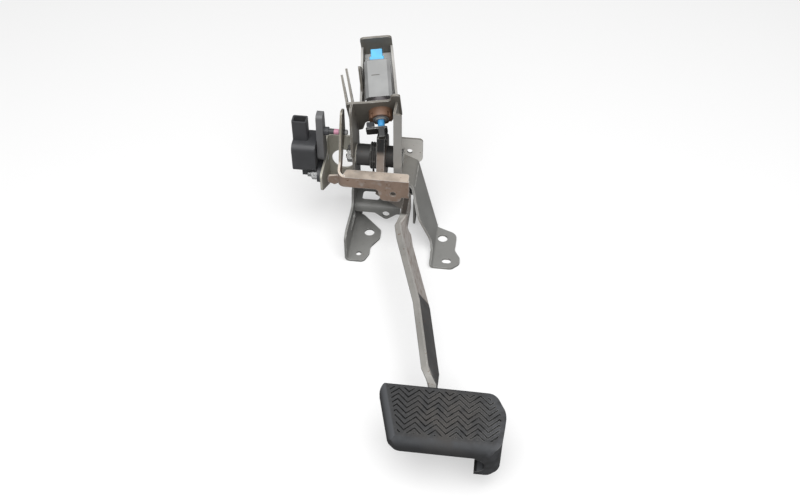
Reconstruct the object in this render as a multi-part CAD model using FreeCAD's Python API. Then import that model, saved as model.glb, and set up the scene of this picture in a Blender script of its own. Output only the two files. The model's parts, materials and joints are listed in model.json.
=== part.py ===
import FreeCAD
import Part
import math
import os

# Suspended brake pedal assembly, in millimetres.
# The firewall face is z = 0, +Y is up in the car and +Z points to the driver.
# The origin lies midway between the two firewall bolt holes.

V = FreeCAD.Vector

# Sheet metal
SHEET = 2.3
BEND = 3.0
HOLE_CLEARANCE = 0.2
FIT = 0.05
SEAT_GAP = 0.3

# Firewall feet
BOLT_SPACING = 80.0
BOLT_HOLE_R = 5.4
FOOT_FRONT = -44.0
LOCATING_X = -46.8
LOCATING_Y = -33.5
LOCATING_R = 3.0
SLOT_X = 47.0
SLOT_LENGTH = 10.0
SLOT_WIDTH = 7.0

# Side plates, named by the face that looks at the pedal
LEFT_IN = -57.7
RIGHT_IN = -15.5
PLATE_FRONT = 17.0
PLATE_BACK = 60.0
PLATE_TOP = 152.0
FLANGE_WIDTH = 8.5
FLARE_TOP = 69.5
FLARE_KNEE_X = 6.0
FLARE_KNEE_Z = 61.0
RIGHT_FOLD_X = 33.0
RIGHT_LEG_BACK = 52.0
RIGHT_LEG_FOOT = 3.0
LEG_CLEARANCE = 1.1

# Pivot
PIVOT_Y = 37.0
PIVOT_Z = 80.0
BOLT_R = 5.0
SLEEVE_R = 7.0
BUSH_R = 9.0
BUSH_LENGTH = 12.0
BUSH_FLANGE_R = 11.0
BUSH_FLANGE = 1.0
BUSH_PLAY = 0.1
TUBE_R = 11.5
BOLT_FLATS = 16.0
BOLT_HEAD = 6.0
NUT_HEIGHT = 6.5
BOLT_PROUD = 1.5

# Cross plate
CROSS_Z = 27.0
CROSS_FRONT = 15.5
CROSS_BACK = 58.0
LIP_DEPTH = 10.0
LIP_HOLE_X = -24.0
LIP_HOLE_R = 4.0
LIP_TAB_WIDTH = 24.0
LIP_TAB_DROP = 9.0

# Stop lamp switch, measured along its axis from the plunger tip
TIP = V(-29.0, 28.0, 125.0)
SWITCH_AXIS = V(-0.172, 0.867, 0.466)
PLUNGER_R = 3.6
PLUNGER_PROUD = 7.0
NECK_R = 6.0
NECK_START = 7.5
SEAT_W = 18.0
SEAT_HOLE_R = 8.4
ADJUSTER_R = 12.3
ADJUSTER_START = 9.0
SWITCH_SHOULDER = 30.0
SWITCH_LENGTH = 73.0
SWITCH_WIDTH = 27.0
SWITCH_DEPTH = 21.0
INSERT_WIDTH = 12.0
INSERT_DEPTH = 9.0
INSERT_PROUD = 14.0
INSERT_FOOT = 5.0
SWITCH_FACET = 3.4

# Switch seat and its upright tabs
SEAT_LEFT = -33.5
SEAT_RIGHT = 22.0
TAB_LEAN = 6.0
LEFT_TAB_LENGTH = 37.0
INNER_TAB_U = -25.5
INNER_TAB_LENGTH = 44.0

# Cowl bracket: a channel under the switch
CHANNEL_FLOOR = 20.0
CHANNEL_LEFT = -22.0
CHANNEL_RIGHT = 19.0
CHANNEL_TAPER = 6.0
HOOD_GAP = 10.0
CHANNEL_WALL = 16.0
HOOD_TOP = -14.0
COWL_HOLE_R = 4.5
COWL_HOLE_W = 62.0

# Pedal arm
ARM_X = -29.0
ARM_PLATE = 8.0
BAR_THICK = 7.6
ARM_HEIGHT = 22.0
ARM_EYE_R = 19.0
ARM_LOW_X = 0.5
ARM_LOW_Z = 46.0
ARM_ROLL = 32.0
ARM_EDGE = 1.0
CLEVIS_Y = -17.0
CLEVIS_R = 4.1
CONTACT_WIDTH = 22.0
CONTACT_HEIGHT = 14.0
CONTACT_RISE = 4.0
CONTACT_RIGHT = 6.0
CONTACT_GAP = 0.05
CUSHION_WIDTH = 8.0
CUSHION_HEIGHT = 8.0
CUSHION_THICK = 5.5

# Pad
PAD_TOP = 55.0
PAD_BACK = -238.5
PAD_DEPTH = 62.0
PAD_LEFT = 5.0
PAD_RIGHT = 118.0
PAD_SKIN = 6.0
PAD_SKIRT = 12.0
PAD_WALL = 3.2
PAD_ROLL = 3.0
PAD_ROLL_LEFT = 8.5
PAD_ROLL_FRONT = 10.0
PAD_ROLL_RIGHT = 3.0
PLATE_THICK = 2.6
GROOVE_WIDTH = 1.9
GROOVE_DEPTH = 1.6
GROOVE_PITCH = 5.7
GROOVE_ROWS = 10
TREAD_INSET = 4.0
TREAD_MARGIN = 0.6
ZIGZAG_PERIOD = 17.8
ZIGZAG_RISE = 8.6
HOOK_DROP = 23.0
HOOK_WIDTH = 24.6
HOOK_DEPTH = 16.0
HOOK_POCKET_R = 9.0
HOOK_ROOF = 1.5

# Return spring
SPRING_WIRE_R = 1.1
SPRING_R = 13.4
SPRING_TURNS = 3
SPRING_PITCH = 2.5
SPRING_LEG = 24.0

# Sensor drive lever
LEVER_FRONT = -1.0
LEVER_BACK = 12.0
LEVER_TOP = 79.0
LEVER_BOTTOM = 66.0
LEVER_RIGHT = 3.0
LEVER_BEND = 6.0
LEG_X = -72.6
LEG_TOP = 136.0
TAB_LEFT = -30.0
TAB_BOTTOM = 51.0
TAB_HOLE_X = -14.0
TAB_HOLE_Z = 61.0
TAB_HOLE_R = 3.2
SPUR_LENGTH = 11.0
SPUR_Y = 6.0
SPUR_TOP = 75.0
SPUR_BOTTOM = 62.0

# Stroke sensor
PIN_Y = 38.0
PIN_Z = 107.0
PIN_R = 3.0
PIN_TIP_X = -66.0
PIN_BAND = 5.0
SENSOR_LEVER_X = -98.0
SENSOR_LEVER_THICK = 7.0
SENSOR_LEVER_TOP = 130.0
SENSOR_HUB_R = 9.0
SENSOR_R = 17.0
SENSOR_LEFT = -124.0
SENSOR_RIGHT = -99.0
SHAFT_R = 4.0
BRACKET_Y = 60.0
BRACKET_LEFT = -91.2
BRACKET_TOP = 86.0
BRACKET_BOTTOM = 22.0
BRACKET_HOLE_R = 13.0
BRACKET_FLANGE_FRONT = 12.0
EAR_THICK = 4.0
EAR_R = 8.0
STUD_SPREAD = 30.0
STUD_Z = 60.0
STUD_R = 3.0
STUD_LENGTH = 17.0
STUD_NUT = 6.0
STUD_FLATS = 10.0
SOCKET_WIDTH = 16.0
SOCKET_DEPTH = 12.0
SOCKET_TOP = 121.0
SOCKET_WALL = 1.8
SOCKET_FLOOR = 104.0

# Values that follow from the sizes above
LEFT_OUT = LEFT_IN - SHEET
RIGHT_OUT = RIGHT_IN + SHEET
HOLE_X = BOLT_SPACING / 2
AXIS_X = V(1, 0, 0)
AXIS_Y = V(0, 1, 0)
AXIS_Z = V(0, 0, 1)
SWITCH_W = V(SWITCH_AXIS).normalize()
SWITCH_U = (AXIS_X - SWITCH_W * AXIS_X.dot(SWITCH_W)).normalize()
SWITCH_V = SWITCH_W.cross(SWITCH_U)
PLATE_Z = PAD_TOP - PAD_SKIN - PLATE_THICK
PAD_FRONT = PAD_BACK - PAD_DEPTH
CHANNEL_END = SWITCH_LENGTH + INSERT_PROUD + HOOD_GAP
RIGHT_LEG_X = ARM_LOW_X + ARM_PLATE / 2 + LEG_CLEARANCE
FAR = 400.0


def place(origin, u, v):
    """Placement with local axes u, v and their cross product."""
    w = u.cross(v)
    return FreeCAD.Placement(FreeCAD.Matrix(
        u.x, v.x, w.x, origin.x, u.y, v.y, w.y, origin.y, u.z, v.z, w.z, origin.z, 0, 0, 0, 1))


def along_x(x):
    """Local plane (y, z) at this x, extruded towards +X."""
    return place(V(x, 0, 0), AXIS_Y, AXIS_Z)


def towards_front(y):
    """Local plane (x, z) at this y, extruded towards -Y."""
    return place(V(0, y, 0), AXIS_X, AXIS_Z)


def upwards(z):
    """Local plane (x, y) at this z, extruded towards +Z."""
    return place(V(0, 0, z), AXIS_X, AXIS_Y)


def on_switch(w):
    """Local plane across the switch axis at this distance from the plunger tip."""
    return place(TIP + SWITCH_W * w, SWITCH_U, SWITCH_V)


def outline(points):
    """Face inside a closed line; a point's third value is its corner radius."""
    trims = []
    count = len(points)
    for index, point in enumerate(points):
        here = V(point[0], point[1], 0)
        radius = point[2] if len(point) > 2 else 0
        if radius == 0:
            trims.append((here, None, here))
            continue
        following = points[(index + 1) % count]
        back = (V(points[index - 1][0], points[index - 1][1], 0) - here).normalize()
        ahead = (V(following[0], following[1], 0) - here).normalize()
        half = back.getAngle(ahead) / 2
        reach = radius / math.tan(half)
        middle = here + (back + ahead).normalize() * (radius / math.sin(half) - radius)
        trims.append((here + back * reach, middle, here + ahead * reach))
    edges = []
    for index, (first, middle, last) in enumerate(trims):
        if middle:
            edges.append(Part.Arc(first, middle, last).toShape())
        start = trims[(index + 1) % count][0]
        if last.distanceToPoint(start) > FIT / 10:
            edges.append(Part.makeLine(last, start))
    return Part.Face(Part.Wire(edges))


def slab(points, thickness, where):
    """Flat piece with this outline."""
    solid = outline(points).extrude(V(0, 0, thickness))
    solid.Placement = where
    return solid


def folded(path, thickness, bend):
    """Outline of a folded sheet whose left face follows the path."""
    left = []
    right = []
    for index, point in enumerate(path):
        here = V(point[0], point[1], 0)
        normals = []
        for near, far in ((index - 1, index), (index, index + 1)):
            if near >= 0 and far < len(path):
                run = V(path[far][0] - path[near][0], path[far][1] - path[near][1], 0).normalize()
                normals.append(V(run.y, -run.x, 0))
        if len(normals) == 1:
            shift = normals[0] * thickness
            radii = (0, 0)
        else:
            first, second = normals
            shift = (first + second) * (thickness / (1 + first.dot(second)))
            turns_left = first.cross(second).z > 0
            radii = (bend, bend + thickness) if turns_left else (bend + thickness, bend)
        left.append((here.x, here.y, radii[0]))
        right.append((here.x + shift.x, here.y + shift.y, radii[1]))
    return left + right[::-1]


def rectangle(width, height, corner=0.0, middle=(0.0, 0.0)):
    """Outline of a centred rectangle."""
    a = width / 2
    b = height / 2
    signs = ((-1, -1), (1, -1), (1, 1), (-1, 1))
    return [(middle[0] + s * a, middle[1] + t * b, corner) for s, t in signs]


def hexagon(flats, middle=(0.0, 0.0)):
    """Outline of a hexagon by its width across flats."""
    corner = flats / math.sqrt(3)
    turns = [math.radians(60 * step) for step in range(6)]
    return [(middle[0] + corner * math.cos(t), middle[1] + corner * math.sin(t)) for t in turns]


def rod(radius, start, direction, length):
    return Part.makeCylinder(radius, length, start, direction)


def ring(outer, inner, start, direction, length):
    return rod(outer, start, direction, length).cut(rod(inner, start, direction, length))


def on_pivot(x):
    return V(x, PIVOT_Y, PIVOT_Z)


def behind_seat():
    """Everything past the front face of the switch seat."""
    return slab(rectangle(FAR, FAR), FAR, on_switch(SEAT_W))


def join(shapes):
    return shapes[0].fuse(shapes[1:]).removeSplitter()


def left_plate():
    """Left side plate with its firewall foot folded under it."""
    lobe = -27.5
    path = [(LEFT_IN, PLATE_TOP), (LEFT_IN, SHEET), (lobe, SHEET)]
    length = PLATE_BACK - FOOT_FRONT
    sheet = slab(folded(path, SHEET, BEND), length, towards_front(PLATE_BACK))
    fold_end = LEFT_IN + BEND + SHEET
    side = slab([
        (FOOT_FRONT, -SHEET), (FOOT_FRONT, 34, 5), (-34, 36, 8), (8, 31, 8), (12, 50, 5),
        (PIVOT_Y - 13, 55, 5),
        (PIVOT_Y - 13, PIVOT_Z + 6, 4), (PLATE_FRONT, PIVOT_Z + 12, 5), (PLATE_FRONT, PLATE_TOP, 5),
        (PLATE_BACK, PLATE_TOP), (PLATE_BACK, 26, 6), (31, -SHEET)],
        fold_end - LEFT_OUT, along_x(LEFT_OUT))
    foot = slab([
        (LEFT_OUT, FOOT_FRONT), (-40, FOOT_FRONT, 6), (-35.5, -32, 8), (-36, -22, 10), (lobe, -8, 8),
        (lobe, 4, 7),
        (-50, 27, 6), (LEFT_OUT, 29)],
        2 * SHEET, upwards(-SHEET / 2))
    plate = sheet.common(side.fuse(foot))
    window_place = along_x(LEFT_OUT - SHEET / 2)
    window = slab([(-26, 17, 3), (10, 23, 3), (18, 10, 3), (-4, 12, 3)], 2 * SHEET, window_place)
    holes = [
        rod(BOLT_HOLE_R, V(-HOLE_X, 0, -SHEET), AXIS_Z, 3 * SHEET),
        rod(LOCATING_R, V(LOCATING_X, LOCATING_Y, -SHEET), AXIS_Z, 3 * SHEET),
        rod(BOLT_R + HOLE_CLEARANCE, on_pivot(LEFT_OUT - SHEET), AXIS_X, 3 * SHEET)]
    return plate.cut(holes + [window, behind_seat()])


def right_plate():
    """Right side plate with a straight leg and a flare out to the second foot."""
    reach = 61.0
    path = [(RIGHT_OUT, PLATE_TOP), (RIGHT_OUT, FLARE_TOP), (FLARE_KNEE_X, FLARE_KNEE_Z),
            (RIGHT_FOLD_X, SHEET), (reach, SHEET)]
    sheet = slab(folded(path, SHEET, BEND), PLATE_BACK - FOOT_FRONT, towards_front(PLATE_BACK))
    side = slab([
        (FOOT_FRONT, -SHEET), (FOOT_FRONT, 5, 2), (-22, 6, 4), (-13, 11, 6), (-12, 40, 10),
        (PLATE_FRONT, FLARE_KNEE_Z + 2, 8),
        (PLATE_FRONT, PLATE_TOP, 4), (PLATE_BACK, PLATE_TOP), (PLATE_BACK, FLARE_KNEE_Z, 6), (16, -SHEET)],
        FAR, along_x(RIGHT_IN - SHEET))
    foot = slab([
        (RIGHT_FOLD_X - FAR / 2, FOOT_FRONT), (53, FOOT_FRONT, 7), (reach, -36, 7), (reach, -28, 8),
        (54.5, -17, 10), (55, 8, 10), (RIGHT_FOLD_X, 17), (RIGHT_FOLD_X, PLATE_BACK),
        (RIGHT_FOLD_X - FAR / 2, PLATE_BACK)],
        FAR, upwards(-SHEET))
    plate = sheet.common(side).common(foot)
    end = RIGHT_IN + FLANGE_WIDTH
    front = slab([
        (RIGHT_IN, FLARE_TOP), (end, FLARE_TOP - 3, 2), (end, PLATE_TOP - 1, 3), (RIGHT_IN, PLATE_TOP - 1)],
        SHEET, towards_front(PLATE_FRONT + SHEET))
    tab_end = 11.0
    tab = slab([
        (RIGHT_IN, 89), (tab_end, 89, 4), (tab_end, 62, 4), (7, 57, 4), (5, 47, 5), (-6, 47, 5),
        (RIGHT_IN, 66)],
        SHEET, towards_front(PLATE_BACK))
    leg = slab([
        (PLATE_FRONT, RIGHT_LEG_FOOT, 2), (RIGHT_LEG_BACK, RIGHT_LEG_FOOT, 6),
        (RIGHT_LEG_BACK, FLARE_KNEE_Z - SHEET),
        (PLATE_FRONT, FLARE_KNEE_Z - SHEET)], SHEET, along_x(RIGHT_LEG_X))
    plate = join([plate, front, tab, leg])
    half_slot = SLOT_WIDTH / 2
    slot = slab(rectangle(SLOT_LENGTH, SLOT_WIDTH, half_slot - FIT, (SLOT_X, LOCATING_Y)),
        3 * SHEET, upwards(-SHEET))
    holes = [
        rod(BOLT_HOLE_R, V(HOLE_X, 0, -SHEET), AXIS_Z, 3 * SHEET),
        rod(BOLT_R + HOLE_CLEARANCE, on_pivot(RIGHT_IN - SHEET), AXIS_X, 3 * SHEET),
        rod(LOCATING_R, V(-3, PLATE_BACK + SHEET, 72), -AXIS_Y, 3 * SHEET)]
    return plate.cut(holes + [slot, behind_seat()])


def cross_plate():
    """Tie plate between the side plates, with a lip bent down at its front."""
    right = RIGHT_LEG_X - SEAT_GAP
    path = [(CROSS_BACK, CROSS_Z), (CROSS_FRONT, CROSS_Z),
        (CROSS_FRONT, CROSS_Z - LIP_DEPTH - LIP_TAB_DROP)]
    sheet = slab(folded(path[::-1], SHEET, BEND), right - LEFT_IN, along_x(LEFT_IN))
    low = CROSS_Z - LIP_DEPTH
    half = LIP_TAB_WIDTH / 2
    lip = slab([
        (LEFT_IN, CROSS_Z + SHEET), (LEFT_IN, low, 2), (LIP_HOLE_X - half, low, 4),
        (LIP_HOLE_X, low - LIP_TAB_DROP, 4), (LIP_HOLE_X + half, low, 4), (right, low, 2),
        (right, CROSS_Z + SHEET)],
        FAR, towards_front(PLATE_BACK))
    passage = slab(rectangle(18, 50, 4, (ARM_LOW_X, CROSS_FRONT)), FAR, upwards(0))
    window = slab(rectangle(19, 15, 3, (-42, 33)), FAR, upwards(0))
    hole = rod(LIP_HOLE_R, V(LIP_HOLE_X, PLATE_BACK, low - 1), -AXIS_Y, FAR)
    return sheet.common(lip).cut([passage, window, hole])


def switch_seat():
    """Plate across the side plates that carries the switch, with two upright tabs at its left."""
    left = SEAT_LEFT
    right = SEAT_RIGHT
    deep = CHANNEL_FLOOR + SHEET
    seat = slab([
        (left, -24, 4), (-14, -22, 4), (12, -22, 4), (12.5, -33, 4), (right, -33, 4), (right, 12, 5),
        (16, deep, 4), (-17, deep, 4), (-22, 42, 4), (left, 40, 4)],
        SHEET, on_switch(SEAT_W))
    lean = math.radians(TAB_LEAN)
    tabs = []
    for u, length in ((left + SHEET, LEFT_TAB_LENGTH), (INNER_TAB_U, INNER_TAB_LENGTH)):
        rising = SWITCH_W * math.cos(lean) - SWITCH_U * math.sin(lean)
        where = place(TIP + SWITCH_U * u + SWITCH_W * SEAT_W, rising, SWITCH_V)
        base = SHEET / 2
        profile = [(base, -14), (SHEET, -14), (length, -22, 2), (length * 0.6, 8, 4), (SHEET, 26),
            (base, 26)]
        tabs.append(slab(profile, SHEET, where))
    hole = rod(SEAT_HOLE_R, TIP, SWITCH_W, FAR)
    return join([seat] + tabs).cut(hole)


def cowl_bracket():
    """Tapered channel under the switch, closed by a hood at its far end."""
    start = SEAT_W + SHEET
    deep = CHANNEL_FLOOR + SHEET
    left = CHANNEL_LEFT
    right = CHANNEL_RIGHT

    def section(w, top):
        share = (w - start) / (CHANNEL_END - start)
        a = left + share * CHANNEL_TAPER
        b = right - share * CHANNEL_TAPER / 3
        inner = deep - SHEET
        face = outline([
            (a, top), (a, deep - BEND), (a + BEND, deep), (b - BEND, deep), (b, deep - BEND), (b, top),
            (b - SHEET, top), (b - SHEET, inner - BEND / 2), (b - BEND, inner), (a + BEND, inner),
            (a + SHEET, inner - BEND / 2), (a + SHEET, top)])
        face.Placement = on_switch(w)
        return face.OuterWire
    rim = CHANNEL_FLOOR - CHANNEL_WALL
    channel = Part.makeLoft([section(start, rim), section(CHANNEL_END, rim)], True, True)
    a = left + CHANNEL_TAPER
    b = right - CHANNEL_TAPER / 3
    hood = slab([(a, HOOD_TOP, 5), (b, HOOD_TOP, 5), (b, deep),
        (a, deep)], SHEET, on_switch(CHANNEL_END - SHEET))
    tongue_place = place(TIP + SWITCH_U * (left + CHANNEL_TAPER / 2 + SHEET), SWITCH_W, SWITCH_V)
    tongue = slab([(42, rim + 8), (44, rim), (60, -22, 2), (72, rim), (72, rim + 8)], SHEET, tongue_place)
    floor_hole = rod(COWL_HOLE_R, TIP + SWITCH_W * COWL_HOLE_W, SWITCH_V, FAR)
    floor_place = place(TIP + SWITCH_V * (deep + SHEET), SWITCH_U, SWITCH_W)
    opening = slab(rectangle(12, 18, 3, (left + 11, 34)), 3 * SHEET, floor_place)
    return join([channel, hood, tongue]).cut([floor_hole, opening])


def sensor_bracket():
    """Plate on the left side plate that carries the stroke sensor."""
    path = [(BRACKET_LEFT, BRACKET_FLANGE_FRONT), (BRACKET_LEFT, BRACKET_Y - SHEET),
        (LEFT_OUT, BRACKET_Y - SHEET)]
    sheet = slab(folded(path[::-1], SHEET, BEND), BRACKET_TOP - BRACKET_BOTTOM, upwards(BRACKET_BOTTOM))
    hub_low = PIVOT_Z - SENSOR_HUB_R - 4
    side = slab([
        (BRACKET_FLANGE_FRONT, BRACKET_BOTTOM + 24, 8), (BRACKET_FLANGE_FRONT, hub_low, 4),
        (PIVOT_Y + 12, hub_low, 4),
        (PIVOT_Y + 13, BRACKET_TOP, 4), (FAR, BRACKET_TOP), (FAR, BRACKET_BOTTOM),
        (PLATE_BACK - 8, BRACKET_BOTTOM)],
        FAR, along_x(BRACKET_LEFT - SHEET))
    hole_x = (BRACKET_LEFT + LEFT_OUT) / 2
    middle = (BRACKET_BOTTOM + BRACKET_TOP) / 2
    hole = rod(BRACKET_HOLE_R, V(hole_x, FAR, middle), -AXIS_Y, FAR)
    studs = [rod(STUD_R + HOLE_CLEARANCE, V(BRACKET_LEFT - SHEET, y, STUD_Z), AXIS_X, 3 * SHEET)
        for y in stud_rows()]
    return sheet.common(side).cut([hole] + studs)


def stud_rows():
    return (PIVOT_Y - STUD_SPREAD / 2, PIVOT_Y + STUD_SPREAD / 2)


def pivot_bolt():
    head = slab(hexagon(BOLT_FLATS, (PIVOT_Y, PIVOT_Z)), BOLT_HEAD, along_x(RIGHT_OUT))
    end = LEFT_OUT - NUT_HEIGHT - BOLT_PROUD
    return join([head, rod(BOLT_R, on_pivot(end), AXIS_X, RIGHT_OUT - end)])


def pivot_nut():
    body = slab(hexagon(BOLT_FLATS, (PIVOT_Y, PIVOT_Z)), NUT_HEIGHT, along_x(LEFT_OUT - NUT_HEIGHT))
    return body.cut(rod(BOLT_R + FIT, on_pivot(LEFT_OUT - NUT_HEIGHT), AXIS_X, NUT_HEIGHT))


def pivot_sleeve():
    return ring(SLEEVE_R, BOLT_R + FIT, on_pivot(LEFT_IN), AXIS_X, RIGHT_IN - LEFT_IN)


def pivot_bush(face, direction):
    """Flanged plastic bush that slides into one end of the pivot tube."""
    flange = rod(BUSH_FLANGE_R, on_pivot(face), direction, BUSH_FLANGE)
    body = rod(BUSH_R, on_pivot(face), direction, BUSH_LENGTH)
    return join([flange, body]).cut(rod(SLEEVE_R + FIT, on_pivot(face), direction, BUSH_LENGTH))


def pivot_tube():
    first = LEFT_IN + BUSH_PLAY + BUSH_FLANGE
    last = RIGHT_IN - BUSH_PLAY - BUSH_FLANGE
    return ring(TUBE_R, BUSH_R + FIT, on_pivot(first), AXIS_X, last - first)


def return_spring():
    """Torsion coil round the pivot tube, with one leg on the arm and one on the cross plate."""
    coil_end = ARM_X - ARM_PLATE / 2 - SPRING_WIRE_R - SEAT_GAP
    height = SPRING_TURNS * SPRING_PITCH
    helix = Part.makeHelix(SPRING_PITCH, height, SPRING_R)
    turns = [math.radians(60 * step) for step in range(7)]
    section = Part.makePolygon(
        [V(SPRING_R + SPRING_WIRE_R * math.cos(t), 0, SPRING_WIRE_R * math.sin(t)) for t in turns])
    sweep = Part.BRepOffsetAPI.MakePipeShell(Part.Wire(helix.Edges))
    sweep.setFrenetMode(True)
    sweep.add(section)
    sweep.build()
    sweep.makeSolid()
    coil = sweep.shape()
    coil.Placement = place(on_pivot(coil_end - height), AXIS_Y, AXIS_Z)
    back = V(coil_end - height, PIVOT_Y + SPRING_R, PIVOT_Z)
    front = V(coil_end, PIVOT_Y + SPRING_R, PIVOT_Z)
    fixed_leg = rod(SPRING_WIRE_R, back, -AXIS_Z, PIVOT_Z - CROSS_Z)
    moving_leg = rod(SPRING_WIRE_R, front, AXIS_Z, SPRING_LEG)
    knuckles = [Part.makeSphere(SPRING_WIRE_R, point) for point in (back, front)]
    return join([coil, fixed_leg, moving_leg] + knuckles)


def switch_body():
    """Faceted switch housing with a round neck that passes through its seat."""
    deep = SEAT_W + SHEET
    chamfer = SWITCH_FACET
    a = SWITCH_WIDTH / 2
    b = SWITCH_DEPTH / 2
    facets = [(-a, chamfer - b), (chamfer - a, -b), (a - chamfer, -b), (a, chamfer - b),
              (a, b - chamfer), (a - chamfer, b), (chamfer - a, b), (-a, b - chamfer)]
    case = slab(facets, SWITCH_LENGTH - SWITCH_SHOULDER, on_switch(SWITCH_SHOULDER))
    shoulder = rod(SWITCH_DEPTH / 2, TIP + SWITCH_W * deep, SWITCH_W, SWITCH_SHOULDER - deep)
    neck = rod(SEAT_HOLE_R - HOLE_CLEARANCE, TIP + SWITCH_W * ADJUSTER_START, SWITCH_W,
        deep - ADJUSTER_START)
    nose = rod(NECK_R, TIP + SWITCH_W * NECK_START, SWITCH_W, ADJUSTER_START - NECK_START)
    bore = rod(PLUNGER_R + FIT, TIP, SWITCH_W, SWITCH_SHOULDER)
    top = [edge for edge in case.Edges if is_at_end(edge)]
    case = case.makeChamfer(SWITCH_FACET / 2, top)
    return join([case, shoulder, neck, nose]).cut(bore)


def is_at_end(edge):
    """True for an edge round the far end of the switch housing."""
    offset = (edge.CenterOfMass - TIP).dot(SWITCH_W)
    return abs(offset - SWITCH_LENGTH) < FIT


def switch_adjuster():
    """Slotted collar that locks the switch to the front of its seat."""
    inner = SEAT_HOLE_R + FIT
    collar = ring(ADJUSTER_R, inner, TIP + SWITCH_W * ADJUSTER_START, SWITCH_W, SEAT_W - ADJUSTER_START)
    slots = []
    for step in range(4):
        cutter = slab(rectangle(3, 4, 0.5, (ADJUSTER_R, 0)), 4, on_switch(ADJUSTER_START))
        cutter.rotate(TIP, SWITCH_W, 45 + 90 * step)
        slots.append(cutter)
    return collar.cut(slots)


def switch_insert():
    """Connector block that stands out of the switch."""
    block = slab(rectangle(INSERT_WIDTH, INSERT_DEPTH, 1), INSERT_PROUD, on_switch(SWITCH_LENGTH))
    foot = slab(rectangle(INSERT_WIDTH + 3, INSERT_DEPTH + 2, 1), INSERT_FOOT, on_switch(SWITCH_LENGTH))
    socket = slab(rectangle(INSERT_WIDTH - 3, INSERT_DEPTH - 3, 0.5),
        INSERT_PROUD, on_switch(SWITCH_LENGTH + INSERT_FOOT))
    return join([block, foot]).cut(socket)


def switch_terminals():
    blades = []
    for side in (-1, 1):
        blade = slab(rectangle(2.2, 0.8, 0, (side * 2.3, 0)), 7, on_switch(SWITCH_LENGTH + INSERT_FOOT))
        blades.append(blade)
    return Part.makeCompound(blades)


def switch_plunger():
    """Sprung pin of the switch with a bevelled tip."""
    length = PLUNGER_PROUD + SWITCH_SHOULDER - 10
    pin = rod(PLUNGER_R, TIP, SWITCH_W, length)
    tip = [edge for edge in pin.Edges if abs((edge.CenterOfMass - TIP).dot(SWITCH_W)) < FIT]
    return pin.makeChamfer(PLUNGER_R / 3, tip)


def bar_section(middle, heading, turn_scale, roll, height):
    """Section of the arm with broken edges; roll leans its upper edge to the left."""
    side = heading.cross(AXIS_Z).normalize()
    tilt = FreeCAD.Rotation(heading, roll)
    side = tilt.multVec(side)
    rise = side.cross(heading)
    a = BAR_THICK * turn_scale / 2
    b = height / 2
    c = ARM_EDGE
    section = outline([
        (c - a, -b), (a - c, -b), (a, c - b), (a, b - c), (a - c, b), (c - a, b), (-a, b - c), (-a, c - b)])
    wire = section.OuterWire
    wire.Placement = place(middle, side, rise)
    return wire


def arm_bar():
    """Bent bar from the eye down to the pad."""
    end_z = PLATE_Z - ARM_HEIGHT / 2
    stations = [
        (V(ARM_X, PIVOT_Y - 7, ARM_LOW_Z + 14), 0), (V(ARM_X, PIVOT_Y - 15, ARM_LOW_Z), 0),
        (V(ARM_LOW_X, 5, ARM_LOW_Z), 0), (V(ARM_LOW_X, CLEVIS_Y - 2 * CLEVIS_R, ARM_LOW_Z), 0),
        (V(ARM_LOW_X + 0.5, CLEVIS_Y - 5 * CLEVIS_R, ARM_LOW_Z), ARM_ROLL),
        (V(5, -55, ARM_LOW_Z), ARM_ROLL),
        (V(31, -138, ARM_LOW_Z), ARM_ROLL), (V(47, PAD_BACK + 28, 39), ARM_ROLL),
        (V(51, PAD_BACK + 9, end_z), 0), (V(57, PAD_BACK - 40, end_z), 0)]
    wires = []
    for index, (middle, roll) in enumerate(stations):
        before = stations[max(index - 1, 0)][0]
        after = stations[min(index + 1, len(stations) - 1)][0]
        arriving = (middle - before).normalize() if index else (after - middle).normalize()
        leaving = (after - middle).normalize() if after != middle else arriving
        heading = (arriving + leaving).normalize()
        turn_scale = 1 / heading.dot(leaving)
        wires.append(bar_section(middle, heading, turn_scale, roll, ARM_HEIGHT))
    return Part.makeLoft(wires, True, True)


def pedal_arm():
    """Forged arm: an eye round the pivot tube, a contact tab above and a bent bar below."""
    eye_front = LEVER_BACK
    head = slab([
        (eye_front, LEVER_TOP + 3, 5), (eye_front + 5, LEVER_TOP + 18, 10), (PIVOT_Y - 17, TIP.z - 8),
        (PIVOT_Y - 5, TIP.z - 8, 4), (PIVOT_Y + ARM_EYE_R, PIVOT_Z + 14, 14),
        (PIVOT_Y + ARM_EYE_R, PIVOT_Z - 14, 14),
        (PIVOT_Y, ARM_LOW_Z + 4, 8), (PIVOT_Y - 12, ARM_LOW_Z, 4), (eye_front, LEVER_BOTTOM - 4, 6)],
        ARM_PLATE, along_x(ARM_X - ARM_PLATE / 2))
    contact_w = -CONTACT_GAP - SHEET
    right = CONTACT_RIGHT
    low = CONTACT_HEIGHT - CONTACT_RISE
    contact = slab([
        (right - CONTACT_WIDTH, -CONTACT_RISE, 2), (right, -CONTACT_RISE, 2), (right, low, 2),
        (right - CONTACT_WIDTH, low, 2)], SHEET, on_switch(contact_w))
    neck = slab(rectangle(ARM_PLATE - 1, CONTACT_HEIGHT + 4, 1, (0, 5)), 9, on_switch(contact_w - 9))
    arm = join([head, neck, contact, arm_bar()])
    holes = [rod(TUBE_R + FIT, on_pivot(ARM_X - ARM_PLATE), AXIS_X, 2 * ARM_PLATE),
             rod(CLEVIS_R, V(ARM_LOW_X - ARM_PLATE, CLEVIS_Y, ARM_LOW_Z), AXIS_X, 2 * ARM_PLATE)]
    return arm.cut(holes)


def stopper_cushion():
    """Rubber block on the contact tab, beside the plunger."""
    middle = (CONTACT_RIGHT - CONTACT_WIDTH + CUSHION_WIDTH / 2 + 1, CUSHION_HEIGHT / 2 - CONTACT_RISE)
    return slab(rectangle(CUSHION_WIDTH, CUSHION_HEIGHT, 1.5, middle),
        CUSHION_THICK, on_switch(-CONTACT_GAP))


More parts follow.
